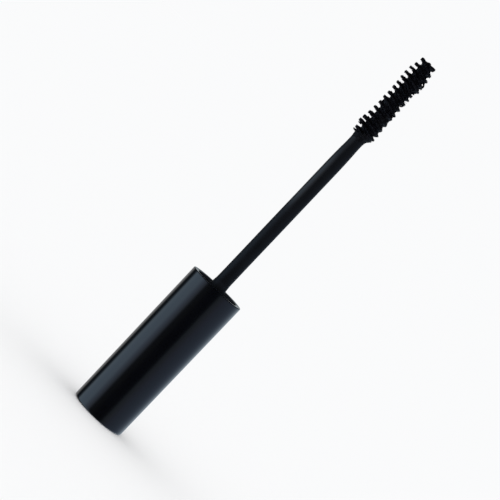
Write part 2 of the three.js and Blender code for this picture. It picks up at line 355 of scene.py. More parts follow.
def ring_mesh(rings, loop=False, poles=True):
    """rings: array (m, n, 3). Returns vertices and faces of the closed surface."""
    m, n = rings.shape[:2]
    verts = list(rings.reshape(-1, 3))
    i = np.arange(n)
    i2 = (i + 1) % n
    faces = []
    last = m if loop else m - 1
    for j in range(last):
        k = (j + 1) % m
        quads = np.stack([j * n + i, j * n + i2, k * n + i2, k * n + i], 1)
        faces += quads.tolist()
    if not loop and poles:
        for j, flip in ((0, True), (m - 1, False)):
            c = len(verts)
            verts.append(rings[j].mean(0))
            if flip:
                faces += [[c, j * n + b, j * n + a] for a, b in zip(i, i2)]
            else:
                faces += [[c, j * n + a, j * n + b] for a, b in zip(i, i2)]
    return verts, faces


def turned(name, profile, mats, seg=160, loop=False, sharp=38, longest=1.5, second=None):
    """A smooth solid of revolution from a profile in millimetres. second(r, z) picks the second material."""
    pts = split_long(soften(profile), longest)
    if loop:
        pts = pts[:-1]
    else:
        pts = [(max(r, 0.0), z) for r, z in pts]
        if pts[0][0] == 0:
            pts = pts[1:]
        if pts[-1][0] == 0:
            pts = pts[:-1]
    a = np.linspace(0, 2 * math.pi, seg, endpoint=False)
    rings = np.array([[(r * math.cos(w), r * math.sin(w), z) for w in a] for r, z in pts]) * MM
    verts, faces = ring_mesh(rings, loop=loop)
    index = None
    if second is not None:
        v = np.array(verts)
        index = []
        for f in faces:
            c = v[f].mean(0)
            rim = np.hypot(v[f][:, 0], v[f][:, 1]).mean()
            index.append(1 if second(rim / MM, c[2] / MM) else 0)
    return make(name, verts, faces, mats, sharp=sharp, mat_index=index)


# ------------------------------------------------------------------ cap shell
cap = turned(
    "cap_gloss_shell",
    [
        (0, 0.05, 0),
        (1.2, 0.05, 0.3),
        (1.5, 0.0, 0.3),
        (8.24, 0.0, 0.62),
        (8.40, 39.0, 0),
        (8.42, 47.1, 0.22),
        (6.80, 46.975, 0.16),
        (6.75, 30.2, 0.1),
        (6.88, 29.85, 0.1),
        (6.88, 29.15, 0.1),
        (6.75, 28.8, 0.1),
        (6.75, 26.0, 0.2),
        (6.35, 25.4, 0.2),
        (6.2, 2.4, 0.5),
        (5.4, 1.6, 0.5),
        (0, 1.6, 0),
    ],
    [MAT["gloss"], MAT["inside"]],
    seg=192,
    second=lambda r, z: r < 6.95 and 1.0 < z < 46.95,
)
place(cap, "gloss_black_abs", "cap_shell")


# ------------------------------------------------------------------ closure with its thread
def closure():
    seg = 160
    a = np.linspace(0, 2 * math.pi, seg, endpoint=False)
    root, crest, pitch, start, turns = 5.85, 5.35, 2.5, 36.9, 2.9

    def ridge(z):
        t = (z - start) / pitch - a / (2 * math.pi)
        lap = np.round(t)
        along = lap + a / (2 * math.pi)
        off = np.abs(t - lap) * pitch
        prof = np.clip((0.62 - off) / 0.38, 0, 1)
        prof = prof * prof * (3 - 2 * prof)
        fade = np.clip(np.minimum(along, turns - along) / 0.12, 0, 1)
        fade = fade * fade * (3 - 2 * fade)
        return (root - crest) * prof * fade

    outer = soften(
        [
            (3.6, 20.6, 0),
            (4.1, 21.1, 0.3),
            (4.1, 31.5, 0.25),
            (5.65, 31.5, 0.25),
            (5.65, 27.0, 0.12),
            (6.49, 27.0, 0.1),
            (6.69, 27.5, 0.1),
            (6.69, 29.0, 0.1),
            (6.82, 29.35, 0.1),
            (6.82, 29.65, 0.1),
            (6.69, 30.0, 0.1),
            (6.69, 45.6, 0.18),
            (6.1, 45.6, 0.12),
            (5.85, 45.2, 0),
        ]
    )
    inner = soften(
        [
            (5.85, 36.0, 0),
            (5.85, 33.5, 0.3),
            (2.75, 33.5, 0.1),
            (2.55, 33.3, 0.1),
            (2.55, 25.6, 0.1),
            (2.86, 25.4, 0.1),
            (2.86, 23.5, 0.1),
            (2.55, 23.3, 0.1),
            (2.55, 22.2, 0.2),
            (0.4, 22.2, 0),
        ]
    )
    rings = [np.stack([r * np.cos(a), r * np.sin(a), np.full(seg, z)], 1) for r, z in split_long(outer, 1.2)]
    for z in np.arange(45.12, 36.04, -0.075):
        r = root - ridge(z)
        rings.append(np.stack([r * np.cos(a), r * np.sin(a), np.full(seg, z)], 1))
    rings += [np.stack([r * np.cos(a), r * np.sin(a), np.full(seg, z)], 1) for r, z in split_long(inner, 1.2)]
    verts, faces = ring_mesh(np.array(rings) * MM)
    return make("threaded_closure", verts, faces, [MAT["closure"]], sharp=40)


place(closure(), "black_pp", "closure")


# ------------------------------------------------------------------ liner
liner = turned(
    "seal_washer",
    [
        (3.7, 33.6, 0),
        (3.8, 33.55, 0.05),
        (5.2, 33.55, 0.1),
        (5.2, 34.35, 0.12),
        (3.7, 34.35, 0.12),
        (3.7, 33.6, 0),
    ],
    [MAT["liner"]],
    seg=128,
    loop=True,
    longest=0.4,
)
place(liner, "liner_foam", "seal_liner")


# ------------------------------------------------------------------ stem
def smooth_curve(keys, step):
    """A smooth radius along the stem through the given (z, r) points."""
    z = np.array([k[0] for k in keys], float)
    r = np.array([k[1] for k in keys], float)
    d = np.diff(r) / np.diff(z)
    m = np.concatenate([[d[0]], (d[:-1] + d[1:]) / 2, [d[-1]]])
    for i in range(len(d)):
        if i < len(d) and d[i] == 0:
            m[i] = m[i + 1] = 0
    zs = np.arange(z[0], z[-1], step)
    zs = np.append(zs, z[-1])
    out = []
    for x in zs:
        i = min(np.searchsorted(z, x, side="right") - 1, len(d) - 1)
        h = z[i + 1] - z[i]
        t = (x - z[i]) / h
        v = (
            (2 * t**3 - 3 * t**2 + 1) * r[i]
            + (t**3 - 2 * t**2 + t) * h * m[i]
            + (-2 * t**3 + 3 * t**2) * r[i + 1]
            + (t**3 - t**2) * h * m[i + 1]
        )
        out.append((x, v))
    return out


def stem():
    seg = 112
    a = np.linspace(0, 2 * math.pi, seg, endpoint=False)
    low = soften(
        [
            (0.3, 22.5, 0),
            (2.05, 22.5, 0.25),
            (2.42, 23.5, 0.2),
            (2.73, 24.8, 0.06),
            (2.45, 25.05, 0.06),
            (2.45, 33.55, 0.1),
            (3.6, 33.55, 0.1),
            (3.6, 34.6, 0.12),
            (3.1, 34.75, 0.1),
            (2.75, 36.0, 0.5),
            (2.75, 44.0, 0.0),
        ]
    )
    body = smooth_curve(
        [
            (44.0, 2.75), (45.8, 2.6), (47.76, 2.35), (49.0, 2.22), (49.7, 2.185), (50.6, 2.175),
            (70.0, 2.168), (82.0, 2.16), (88.0, 2.155), (91.0, 2.155), (93.0, 2.145), (95.0, 2.11), (97.0, 2.055), (98.8, 1.98), (100.0, 1.955),
            (100.9, 1.965), (101.5, 2.0), (101.95, 2.005),
        ],
        0.5,
    )
    top = soften(
        [
            (2.0, 101.95, 0),
            (1.97, 102.25, 0.15),
            (1.7, 102.45, 0.12),
            (0.64, 102.45, 0.06),
            (0.62, 95.3, 0.1),
            (0.1, 95.3, 0),
        ]
    )
    pts = split_long(low, 1.0) + [(r, z) for z, r in body[1:-1]] + split_long(top, 1.0)
    rings = np.array([np.stack([r * np.cos(a), r * np.sin(a), np.full(seg, z)], 1) for r, z in pts]) * MM
    verts, faces = ring_mesh(rings)
    return make("satin_stem", verts, faces, [MAT["stem"]], sharp=42)


place(stem(), "satin_black_stem", "stem")


# ------------------------------------------------------------------ brush: measured helix
HAND = -1  # left-hand twist
ROWS = 15
BRUSH_Z0, BRUSH_Z1 = 102.52, 129.1
SPAN = (BRUSH_Z1 - BRUSH_Z0) / ROWS
# Where the fibre fins pass the -X side (first of each pair) and the +X side (second): height, reach and half width in mm.
TOOTH_Z = np.array([
    (103.84, 104.20), (105.80, 105.70), (107.22, 107.42), (109.11, 109.11), (110.96, 111.49), (112.80, 112.69),
    (114.62, 114.58), (116.36, 116.58), (118.25, 118.11), (119.93, 119.38), (121.69, 121.50), (123.33, 123.06),
    (125.12, 124.99), (126.75, 126.78), (128.60, 128.66),
])
TOOTH_R = np.array([
    (10.9, 12.2), (12.9, 12.4), (12.2, 11.6), (11.3, 11.3), (11.0, 10.6), (10.7, 11.2), (11.1, 10.7), (10.8, 10.4),
    (11.0, 10.3), (11.5, 9.8), (12.2, 12.0), (12.6, 11.3), (12.2, 11.1), (10.6, 9.6), (9.3, 8.2),
]) * 0.266 + np.array([0.10, 0.08])
TOOTH_W = np.array([
    (0.30, 0.50), (0.30, 0.50), (0.44, 0.50), (0.33, 0.55), (0.27, 0.60), (0.40, 0.52), (0.26, 0.46), (0.32, 0.42),
    (0.29, 0.46), (0.31, 0.38), (0.28, 0.60), (0.25, 0.36), (0.24, 0.36), (0.28, 0.36), (0.36, 0.36),
])
GAP_R = np.array([
    (6.3, 9.0), (6.6, 9.9), (5.5, 9.9), (6.1, 10.4), (6.0, 7.4), (8.0, 8.0), (5.8, 6.3), (5.9, 7.4), (5.7, 8.0),
    (5.7, 6.6), (6.6, 9.8), (6.2, 7.6), (5.7, 7.4), (5.7, 6.2),
]) * 0.266
TUFTS = 11  # clumps of fibres in each half turn of a fin
# Tuft tips on the -X side: half thickness half way out, half thickness at the tip, and how far the tip leans up, in mm.
TIPS = [
    (0.42, 0.38, 0.02), (0.42, 0.46, 0.08), (0.46, 0.54, 0.02), (0.38, 0.46, -0.02), (0.42, 0.38, 0.07), (0.42, 0.46, 0.02),
    (0.34, 0.34, 0.12), (0.37, 0.42, 0.02), (0.34, 0.42, 0.04), (0.38, 0.42, 0.02), (0.31, 0.34, 0.00), (0.33, 0.40, 0.00),
    (0.33, 0.37, 0.00), (0.36, 0.44, -0.02), (0.45, 0.46, 0.12),
]
K = np.arange(ROWS)
K_EXT = np.concatenate([[-1], K, [ROWS]])
Z_EXT = np.vstack([TOOTH_Z[0] - 1.75, TOOTH_Z, TOOTH_Z[-1] + 1.75])


def side_mix(theta):
    return (1 + np.cos(theta)) / 2  # 0 on -X, 1 on +X


def lay(theta):
    """The fins run flatter where they pass the two sides and steeper across the front and back."""
    return theta - 0.3 * np.sin(2 * theta)


def blend_sides(u, theta, at, table):
    w = side_mix(theta)
    return np.interp(u, at, table[:, 0]) * (1 - w) + np.interp(u, at, table[:, 1]) * w


def fin_z(u, theta):
    """Height of the fin numbered u (it passes +X or -X at whole u) where it faces theta."""
    return blend_sides(u, theta, K_EXT, Z_EXT)


def reach(u, theta):
    return blend_sides(u, theta, K, TOOTH_R)


def noise_at(points, scale, seed):
    off = Vector((seed * 13.7, seed * 5.1, seed * 9.3))
    return np.array([noise.noise(Vector(p) * scale + off) for p in points])


def body_radius(theta, z):
    """Radius of the clogged fibre body in millimetres, for arrays of angle and height."""
    flat_t, flat_z = theta.ravel(), z.ravel()
    u_nom = np.empty_like(flat_z)
    w = side_mix(flat_t)
    for i in range(len(flat_z)):
        zz = Z_EXT[:, 0] + (Z_EXT[:, 1] - Z_EXT[:, 0]) * w[i]
        u_nom[i] = np.interp(flat_z[i], zz, K_EXT)
    shift = HAND * lay(flat_t) / math.pi
    near = np.round(u_nom - shift)
    d = (u_nom - shift - near) * 1.75  # axial distance to the fin's middle, mm
    uf = u_nom - d / 1.75
    R = reach(uf, flat_t)
    G = blend_sides(u_nom - 0.5, flat_t, K[:-1], GAP_R)
    W = blend_sides(uf, flat_t, K, TOOTH_W)
    # the paste fills the foot of each fin, higher on the clogged +X side; tufts carry the rest of the reach
    side = side_mix(flat_t)
    free = 0.35 + 0.65 * np.abs(np.sin(flat_t))
    p = np.stack([np.cos(flat_t), np.sin(flat_t), flat_z * 0.35], 1)
    clump = noise_at(p, 5.5, 1)
    round_p = np.stack([np.cos(flat_t) * 2.4, np.sin(flat_t) * 2.4, flat_z], 1)
    fine = noise_at(round_p, 2.6, 2)
    mid = noise_at(round_p, 1.1, 3)
    grit = noise_at(round_p, 6.5, 4)
    W = W * 0.98 * (1 + 0.22 * mid * free)
    crown = np.clip((flat_z - 128.2) / 0.3, 0, 1) * (d > 0) * (1 - np.abs(np.sin(flat_t)))
    d = d * (1 - 0.6 * crown)
    off = np.abs(d + 0.10 * mid * free)
    prof = 1 / (1 + (off / W) ** 3.2)
    floor_p = 1 / (1 + (0.875 / W) ** 3.2)
    prof = np.clip((prof - floor_p) / (1 - floor_p), 0, 1)
    # notches between the tufts
    beat = np.cos((uf * TUFTS + 0.25 * mid) * 2 * math.pi)
    height = 0.60 + 0.27 * side + 0.10 * clump * free + (0.10 - 0.04 * side) * beat
    top = G + (R - G) * height
    r = G * (1 + 0.09 * mid) + (top - G) * prof
    r = r + 0.12 * fine + 0.06 * grit
    return r.reshape(theta.shape)


def skirt_radius(theta, z):
    """The paste that runs from the brush down over the stem's tip."""
    w = side_mix(theta)
    left = np.interp(z, [101.0, 101.6, 102.1, 102.47, 102.7, 102.87, 103.0, 103.2], [2.03, 2.07, 2.10, 2.14, 2.34, 2.60, 2.42, 2.36])
    right = np.interp(z, [101.0, 101.6, 102.1, 102.47, 102.8, 103.3, 103.9, 104.3], [2.03, 2.07, 2.13, 2.26, 2.62, 2.90, 3.05, 3.15])
    return left * (1 - w) + right * w


def body_piece(row):
    seg = 160
    z0 = BRUSH_Z0 + row * SPAN
    z1 = z0 + SPAN
    n = 30
    zs = np.linspace(z0, z1, n + 1)
    if row == 0:
        zs = np.concatenate([np.arange(101.0, z0 - 0.02, 0.07), zs])
    a = np.linspace(0, 2 * math.pi, seg, endpoint=False)
    T, Z = np.meshgrid(a, zs)
    r = body_radius(T, Z)
    inner0 = np.stack([0.6 * np.cos(a), 0.6 * np.sin(a), np.full(seg, z0)], 1)[None]
    if row == 0:
        # the outline follows the paste at the bottom and the fins from about z = 104
        k = np.clip((Z - 102.9) / 0.8, 0, 1)
        k = k * k * (3 - 2 * k)
        around = np.stack([2 * np.cos(T.ravel()), 2 * np.sin(T.ravel()), Z.ravel()], 1)
        lumps = noise_at(around, 1.9, 6).reshape(T.shape)
        base = skirt_radius(T, Z) + 0.06 * lumps * np.clip((Z - 101.2) / 1.0, 0, 1)
        w = side_mix(T)
        r = np.where(w > 0.5, np.maximum(base + (r - base) * k, base * np.clip((104.4 - Z) / 0.3, 0, 1)), base + (r - base) * k)
        # the paste feathers out over the stem along an uneven edge
        flat_ring = np.stack([1.6 * np.cos(T.ravel()), 1.6 * np.sin(T.ravel()), np.zeros(T.size)], 1)
        edge_z = 101.55 + 0.75 * noise_at(flat_ring, 1.7, 8).reshape(T.shape) + 0.25 * noise_at(flat_ring, 5.0, 9).reshape(T.shape)
        edge = np.clip((Z - edge_z) / 0.35, 0, 1)
        edge = np.sqrt(edge)
        stem_r = np.interp(Z, [100.9, 101.5, 101.95, 102.3], [1.965, 2.0, 2.005, 2.005])
        hidden = stem_r - 0.04
        r = np.where(Z < 102.45, hidden + (np.maximum(r, stem_r + 0.02) - hidden) * edge, r)
        ang = np.stack([np.cos(a), np.sin(a)], 1)
        inner = []
        for ri, zi in ((0.6, z0), (1.2, z0), (1.86, z0), (1.86, 101.9), (1.86, 101.45), (1.86, 101.02)):
            inner.append(np.concatenate([ang * ri, np.full((seg, 1), zi)], 1))
        inner0 = np.array(inner)
    if row == ROWS - 1:
        k = np.clip((BRUSH_Z1 - 0.02 - Z) / 0.45, 0, 1)
        r = np.where(k < 1, 0.72 + (r - 0.72) * np.sqrt(k), r)
    rings = np.stack([r * np.cos(T), r * np.sin(T), Z], 2)
    inner1 = np.stack([0.6 * np.cos(a), 0.6 * np.sin(a), np.full(seg, z1)], 1)
    rings = np.concatenate([inner0, rings, inner1[None]])
    return ring_mesh(rings, loop=True)


def tube(points, radii, sides=7):
    """A lumpy strand through the points, with closed round ends."""
    pts = np.array(points, float)
    n = len(pts)
    verts, faces = [], []
    tang = np.gradient(pts, axis=0)
    tang /= np.linalg.norm(tang, axis=1)[:, None]
    ref = np.array((0.13, 0.97, 0.2))
    for i in range(n):
        s = np.cross(tang[i], ref)
        s /= np.linalg.norm(s)
        o = np.cross(tang[i], s)
        for j in range(sides):
            w = 2 * math.pi * j / sides
            verts.append(pts[i] + (s * math.cos(w) + o * math.sin(w)) * radii[i])
    for i in range(n - 1):
        for j in range(sides):
            j2 = (j + 1) % sides
            faces.append([i * sides + j, (i + 1) * sides + j, (i + 1) * sides + j2, i * sides + j2])
    for end, order in ((0, 1), (n - 1, -1)):
        c = len(verts)
        verts.append(pts[end] - tang[end] * order * radii[end] * 0.6)
        for j in range(sides):
            j2 = (j + 1) % sides
            a0, b0 = end * sides + j, end * sides + j2
            faces.append([c, a0, b0] if order == 1 else [c, b0, a0])
    return verts, faces


def curve_through(keys, step):
    keys = np.array(keys, float)
    length = np.concatenate([[0], np.cumsum(np.linalg.norm(np.diff(keys[:, :3], axis=0), axis=1))])
    s = np.linspace(0, length[-1], max(4, int(length[-1] / step)))
    out = np.stack([np.interp(s, length, keys[:, c]) for c in range(keys.shape[1])], 1)
    for _ in range(2):
        out[1:-1] = (out[:-2] + 2 * out[1:-1] + out[2:]) / 4
    return out


# Strands of paste and bent fibres that bridge the fins: row, then (x, y, z, radius) along each, in mm.
STRANDS = [
    (1, [(-2.6, 0.0, 105.85, 0.32), (-3.2, 0.0, 105.8, 0.27)]),
    (1, [(-3.22, 0.0, 105.44, 0.12), (-3.32, 0.05, 105.7, 0.20), (-3.35, 0.0, 106.0, 0.21), (-3.38, -0.05, 106.28, 0.13)]),
    (0, [(-1.95, 0.0, 102.85, 0.30), (-2.0, 0.0, 103.2, 0.35), (-2.05, 0.0, 103.6, 0.38)]),
    (0, [(-2.1, -0.1, 102.95, 0.30), (-2.5, -0.1, 102.93, 0.28), (-2.80, -0.1, 102.98, 0.24), (-3.02, -0.1, 103.06, 0.15)]),
    (0, [(-1.85, 0.0, 104.05, 0.22), (-2.08, 0.0, 104.26, 0.18), (-2.22, 0.0, 104.34, 0.10)]),
    (1, [(-2.30, 0.0, 105.30, 0.30), (-2.70, 0.0, 105.17, 0.26), (-3.02, 0.0, 105.14, 0.21), (-3.20, 0.0, 105.16, 0.12)]),
    (1, [(2.00, 0.0, 105.05, 0.20), (2.45, 0.0, 105.12, 0.20), (2.80, 0.0, 105.30, 0.20), (3.08, 0.0, 105.52, 0.18)]),
    (0, [(2.35, 0.0, 103.05, 0.24), (2.75, 0.0, 103.22, 0.20), (3.02, 0.0, 103.38, 0.14)]),
    (0, [(2.75, 0.0, 103.9, 0.24), (3.05, 0.0, 104.25, 0.18), (3.18, 0.0, 104.50, 0.12)]),
    (2, [(2.3, 0.1, 106.78, 0.22), (2.72, 0.1, 106.82, 0.19), (2.88, 0.05, 107.30, 0.20), (2.8, 0.0, 107.9, 0.2)]),
    (2, [(-2.85, 0.0, 106.95, 0.22), (-3.05, 0.0, 107.2, 0.26), (-3.0, 0.0, 107.5, 0.22)]),
    (4, [(2.3, 0.1, 111.2, 0.34), (2.52, 0.1, 111.6, 0.30), (2.50, 0.1, 112.1, 0.26), (2.55, 0.0, 112.6, 0.30)]),
    (5, [(1.85, 0.0, 111.75, 0.16), (2.10, 0.0, 112.0, 0.13), (2.30, 0.0, 112.3, 0.16)]),
    (5, [(-2.5, 0.0, 112.6, 0.24), (-2.45, 0.0, 113.0, 0.27), (-2.25, 0.05, 113.5, 0.25), (-2.2, 0.0, 114.0, 0.25), (-2.3, 0.0, 114.5, 0.2)]),
    (6, [(1.9, -0.1, 113.1, 0.18), (2.2, -0.1, 113.45, 0.14), (2.25, -0.1, 113.9, 0.14), (2.3, 0.0, 114.4, 0.22)]),
    (7, [(1.70, 0.0, 115.42, 0.20), (2.15, 0.0, 115.60, 0.17), (2.50, 0.0, 115.92, 0.18), (2.60, 0.0, 116.35, 0.22)]),
    (8, [(1.90, 0.0, 115.70, 0.10), (2.12, 0.0, 115.95, 0.08), (2.30, 0.0, 116.25, 0.12)]),
    (9, [(1.80, 0.0, 119.85, 0.14), (2.05, 0.0, 120.10, 0.11), (2.25, 0.0, 120.40, 0.16)]),
    (9, [(2.30, 0.0, 119.30, 0.26), (2.48, 0.0, 119.62, 0.20), (2.60, 0.0, 119.88, 0.12)]),
    (10, [(2.10, 0.0, 120.25, 0.17), (2.45, 0.0, 120.30, 0.15), (2.72, 0.0, 120.38, 0.11)]),
    (10, [(1.95, 0.0, 120.42, 0.30), (2.30, 0.0, 120.70, 0.36), (2.65, 0.0, 121.10, 0.36)]),
    (10, [(2.65, 0.0, 121.80, 0.34), (2.35, 0.0, 122.20, 0.34), (2.45, 0.0, 122.65, 0.30)]),
    (11, [(2.50, 0.0, 123.00, 0.22), (2.86, 0.0, 123.14, 0.32), (2.96, 0.0, 123.42, 0.30), (2.88, 0.0, 123.80, 0.30), (2.60, 0.0, 124.14, 0.30), (2.30, 0.0, 124.42, 0.30), (2.35, 0.0, 124.80, 0.28)]),
    (11, [(2.10, 0.0, 123.10, 0.22), (2.12, 0.0, 123.55, 0.18), (2.15, 0.0, 124.00, 0.18), (2.25, 0.0, 124.45, 0.22)]),
    (12, [(1.45, 0.0, 123.55, 0.20), (1.50, 0.0, 123.90, 0.16), (1.60, 0.0, 124.30, 0.24)]),
    (13, [(1.7, 0.2, 125.6, 0.12), (2.0, 0.2, 125.9, 0.10), (2.2, 0.1, 126.4, 0.14)]),
    (14, [(1.30, 0.0, 128.55, 0.30), (1.80, 0.0, 128.78, 0.26), (2.10, 0.0, 128.95, 0.20), (2.24, 0.0, 129.04, 0.11)]),
    (14, [(1.75, 0.0, 128.02, 0.14), (2.00, 0.0, 128.10, 0.16), (2.10, 0.0, 128.50, 0.22), (2.14, 0.0, 128.90, 0.18)]),
]


# Split ends of the fibre clumps on the -X side: row, and how far the end bends down (-) or up (+), in mm.
SPLIT_ENDS = [
    (1, 0.42), (2, -0.34), (3, -0.44), (3, 0.38), (4, 0.30), (5, -0.30), (5, 0.40), (6, 0.34), (7, 0.34), (7, -0.26), (8, -0.36), (8, 0.40),
    (9, -0.32), (10, 0.30), (11, -0.40), (11, 0.34), (12, 0.24), (13, -0.40), (13, 0.38), (14, 0.36),
]
for split_row, bend in SPLIT_ENDS:
    zt, rt = TOOTH_Z[split_row, 0] + TIPS[split_row][2], TOOTH_R[split_row, 0]
    STRANDS.append((split_row, [(0.55 - rt, 0.0, zt + 0.15 * bend, 0.13), (0.25 - rt, 0.02, zt + 0.65 * bend, 0.12), (-rt, 0.03, zt + bend, 0.07)]))


def strands_piece(row):
    verts, faces = [], []
    for at, keys in STRANDS:
        if at != row:
            continue
        c = curve_through(keys, 0.10)
        wob = np.array([noise.noise(Vector((q[0] * 1.9, q[1] * 1.9, q[2] * 1.9))) for q in c])
        c[:, 1] += 0.05 * wob
        radii = c[:, 3] * (1 + 0.25 * wob)
        v, f = tube(c[:, :3], radii)
        off = len(verts)
        verts += v
        faces += [[i + off for i in g] for g in f]
    return verts, faces


def tufts_piece(row):
    """Clumps of fibres stuck together with paste: blunt, flattened cones that stand round each fin."""
    verts, faces, tips = [], [], []
    sides = 10
    levels = np.array([0.0, 0.2, 0.4, 0.58, 0.74, 0.87, 0.95, 1.0])
    for fin in (0, 1):
        for j in range(TUFTS):
            local = (j - TUFTS // 2) * math.pi / TUFTS
            on_side = j == TUFTS // 2
            alpha = local + (0 if on_side else rng.normal(0, 0.05))
            u = row + HAND * float(lay(alpha)) / math.pi
            theta = HAND * math.pi * row + fin * math.pi + alpha
            w = float(side_mix(theta))
            uc = min(max(u, 0.0), ROWS - 1)
            R = float(reach(uc, theta)) * (1.0 if on_side else rng.uniform(0.92, 1.03))
            W = float(blend_sides(uc, theta, K, TOOTH_W))
            z = float(fin_z(u, theta))
            tip_z = z + rng.normal(0, 0.02 if on_side else 0.09)
            if row == 0 and z < 103.3:
                continue
            if tip_z > 128.98:
                if tip_z > 129.35:
                    continue
                tip_z = 128.70 + 0.06 * rng.random()
                z = min(z, 128.55)
            lean = rng.normal(0, 0.03 if on_side else 0.10)
            thick0 = 0.42 - 0.04 * w + 0.35 * (W - 0.3)
            thick1 = min(max(0.30 - 0.08 * w + 0.45 * (W - 0.3) + rng.normal(0, 0.012), 0.17), 0.38)
            wide0, wide1 = 0.46, rng.uniform(0.18, 0.28)
            r0 = 1.15
            # the half turn that starts here passes -X at its middle on every other fin
            at = row
            shaped = w < 0.12
            if shaped:
                tip_z = z + TIPS[at][2] + rng.normal(0, 0.02 if on_side else 0.05)
            start = len(verts)
            for i, q in enumerate(levels):
                rr = r0 + (R - r0) * q
                th = theta + lean * q * q
                zz = z + (tip_z - z) * q * q
                close = 1.0 if q < 0.9 else (0.92 if q < 0.97 else 0.55)
                half_w = (wide0 + (wide1 - wide0) * q**0.8) * close
                half_t = (thick0 + (thick1 - thick0) * q**0.7) * close
                if shaped:
                    half_t = np.interp(q, [0.0, 0.6, 0.93, 1.0], [thick0, TIPS[at][0], TIPS[at][1], TIPS[at][1] * 0.9])
                out = np.array((math.cos(th), math.sin(th), 0.0))
                tan = np.array((-math.sin(th), math.cos(th), 0.0))
                c = out * rr + np.array((0, 0, zz))
                for s in range(sides):
                    b = 2 * math.pi * s / sides
                    off = tan * (half_w * math.cos(b)) + np.array((0, 0, half_t * math.sin(b)))
                    pt = c + off
                    bump = noise.noise(Vector(pt) * 3.1 + Vector((7, 3, 1))) * 0.30 + noise.noise(Vector(pt) * 8.0) * 0.16
                    vert = c + off * (1 + bump) + out * (0.05 * noise.noise(Vector(pt) * 5.0) if q > 0.9 else 0)
                    if row == ROWS - 1 and vert[0] > -1.3 and vert[2] > 128.88:  # the trimmed end of the brush
                        vert[2] = 128.88 + 0.25 * (vert[2] - 128.88)
                    verts.append(vert)
            n = len(levels)
            for i in range(n - 1):
                for s in range(sides):
                    s2 = (s + 1) % sides
                    o = start + i * sides
                    faces.append([o + s, o + s2, o + sides + s2, o + sides + s])
            faces.append([start + s for s in reversed(range(sides))])
            faces.append([start + (n - 1) * sides + s for s in range(sides)])
            tips.append((fin, theta + lean, tip_z, z, theta, R, wide1))
    return verts, faces, tips


def fibres_piece(row, tips):
    """Single fibres: most are caught in a tuft and show only at its top, some stand free."""
    verts, faces = [], []
    sides, steps = 5, 6
    for fin, th_tip0, z_tip0, z0, theta0, R, wide in tips:
        for _ in range(15):
            stray = rng.random() < 0.16
            spread = rng.normal(0, 0.5)
            th_base = theta0 + rng.uniform(-0.16, 0.16)
            th_tip = th_tip0 + spread * wide / R + (rng.normal(0, 0.10) if stray else 0)
            z_base = z0 + rng.normal(0, 0.06)
            z_tip = z_tip0 + rng.normal(0, 0.26 if stray else 0.11)
            L = R * (rng.uniform(0.78, 1.05) if stray else rng.uniform(0.97, 1.05))
            z_tip = min(z_tip, 129.0 + 0.08 * rng.random())
            if z_base < BRUSH_Z0 + 0.05 or z_base > BRUSH_Z1 - 0.1:
                continue
            base = np.array((0.55 * math.cos(th_base), 0.55 * math.sin(th_base), z_base))
            tip = np.array((L * math.cos(th_tip), L * math.sin(th_tip), z_tip))
            mid = (base + tip) / 2 + rng.normal(0, 0.06 if stray else 0.03, 3)
            axis = (tip - base) / np.linalg.norm(tip - base)
            side = np.cross(axis, (0, 0, 1))
            side /= np.linalg.norm(side)
            other = np.cross(axis, side)
            r0, r1 = 0.07, 0.040
            start = len(verts)
            for k in range(steps + 1):
                t = k / steps
                c = base * (1 - t) ** 2 + mid * 2 * t * (1 - t) + tip * t * t
                r = r0 + (r1 - r0) * t
                if k == steps:
                    r *= 0.45
                for j in range(sides):
                    w = 2 * math.pi * j / sides
                    verts.append(c + side * (r * math.cos(w)) + other * (r * math.sin(w)))
            for k in range(steps):
                for j in range(sides):
                    j2 = (j + 1) % sides
                    s0 = start + k * sides
                    faces.append([s0 + j, s0 + j2, s0 + sides + j2, s0 + sides + j])
            faces.append([start + j for j in reversed(range(sides))])
            faces.append([start + steps * sides + j for j in range(sides)])
    return verts, faces


for row in range(ROWS):
    v1, f1 = body_piece(row)
    v3, f3 = strands_piece(row)
    v4, f4, tips = tufts_piece(row)
    v2, f2 = fibres_piece(row, tips)
    verts, faces, index = [], [], []
    for v, f, m in ((v1, f1, 0), (v3, f3, 0), (v4, f4, 0), (v2, f2, 1)):
        faces += [[i + len(verts) for i in g] for g in f]
        verts += [np.asarray(q) * MM for q in v]
        index += [m] * len(f)
    ob = make(
        f"bristles_{row + 1:02d}",
        verts,
        faces,
        [MAT["product"], MAT["fibre"]],
        mat_index=index,
    )
    place(ob, "black_fibre", f"bristle_row_{row + 1:02d}")


# ------------------------------------------------------------------ twisted wire
def wire():
    pitch, phase, off, rad = 3.503, 105.79, 0.25, 0.27
    zs = np.arange(95.5, 129.4001, 0.1)
    n = 28
    a = np.linspace(0, 2 * math.pi, n, endpoint=False)
    rings = []
    for z in zs:
        s = off * np.sin(a)
        r = off * np.abs(np.cos(a)) + np.sqrt(rad**2 - s * s)
        end = min(1.0, math.sqrt(max(0.0, (129.4 - z) / 0.22)) + 0.25) if z > 129.18 else 1.0
        r = r * end
        w = a + HAND * 2 * math.pi * (z - phase) / pitch + math.pi / 2
        rings.append(np.stack([r * np.cos(w), r * np.sin(w), np.full(n, z)], 1))
    verts, faces = ring_mesh(np.array(rings) * MM)
    return make("twisted_wire", verts, faces, [MAT["wire"]], sharp=60)


place(wire(), "steel_wire", "brush_wire")


# ------------------------------------------------------------------ stage
floor_me = bpy.data.meshes.new("studio_floor")
bm = bmesh.new()
bmesh.ops.create_grid(bm, x_segments=8, y_segments=8, size=25)
bm.to_mesh(floor_me)
bm.free()
floor = bpy.data.objects.new("studio_floor", floor_me)
scene.collection.objects.link(floor)
fm, ft, fb = nodes_of("pale_floor")
fb.inputs["Base Color"].default_value = (0.8550, 0.8590, 0.8650, 1)
fb.inputs["Roughness"].default_value = 1.0
fb.inputs["Specular IOR Level"].default_value = 0.0
floor_me.materials.append(fm)
floor.visible_glossy = False

